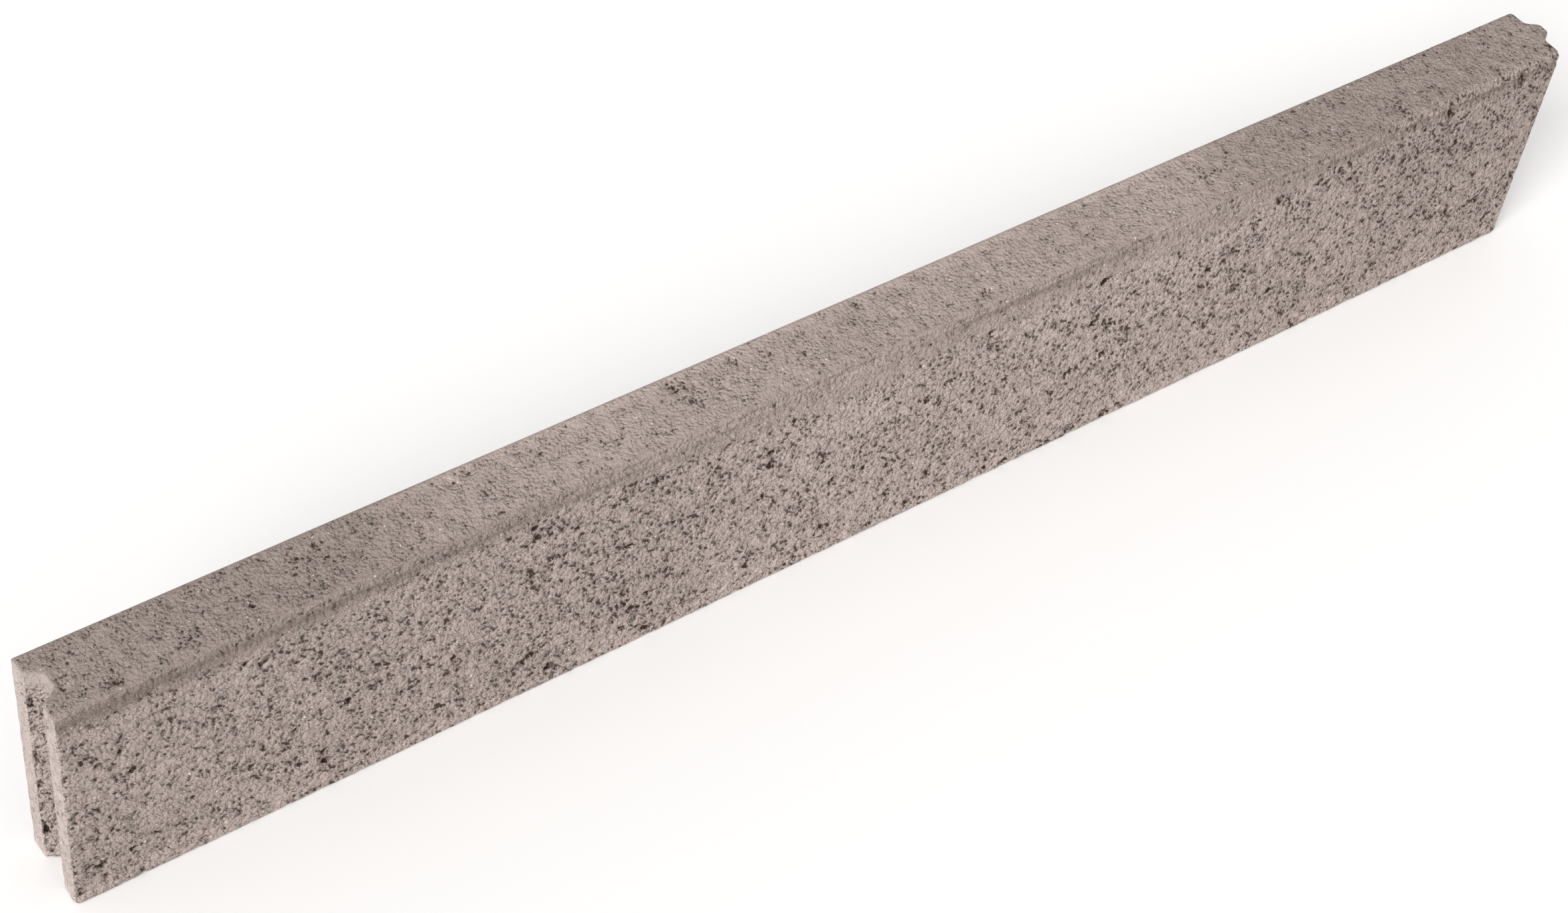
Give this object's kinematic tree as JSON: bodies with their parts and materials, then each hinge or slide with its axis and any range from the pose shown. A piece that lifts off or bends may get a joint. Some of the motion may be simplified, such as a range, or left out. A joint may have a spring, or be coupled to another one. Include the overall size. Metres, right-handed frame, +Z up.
{
  "type": "concrete kerb stone",
  "caption": "Straight concrete edging kerb standing on its narrow base, with rounded top arrises, an upright groove at one end and a matching tongue at the other.",
  "frame": {"origin": "middle of the overall length and width, on the base that the stone stands on", "axes": "+X along the stone towards its tongue end, -Y and +Y out of the two long faces, +Z up to the rounded top"},
  "size_m": [1.008, 0.048, 0.15],
  "materials": {
    "concrete": "dry pressed concrete: matt warm grey, pitted long faces, finer stippled top, smooth paste band at the long arrises"
  },
  "bodies": {
    "root": {"kerb_stone": "concrete"}
  },
  "joints": []
}
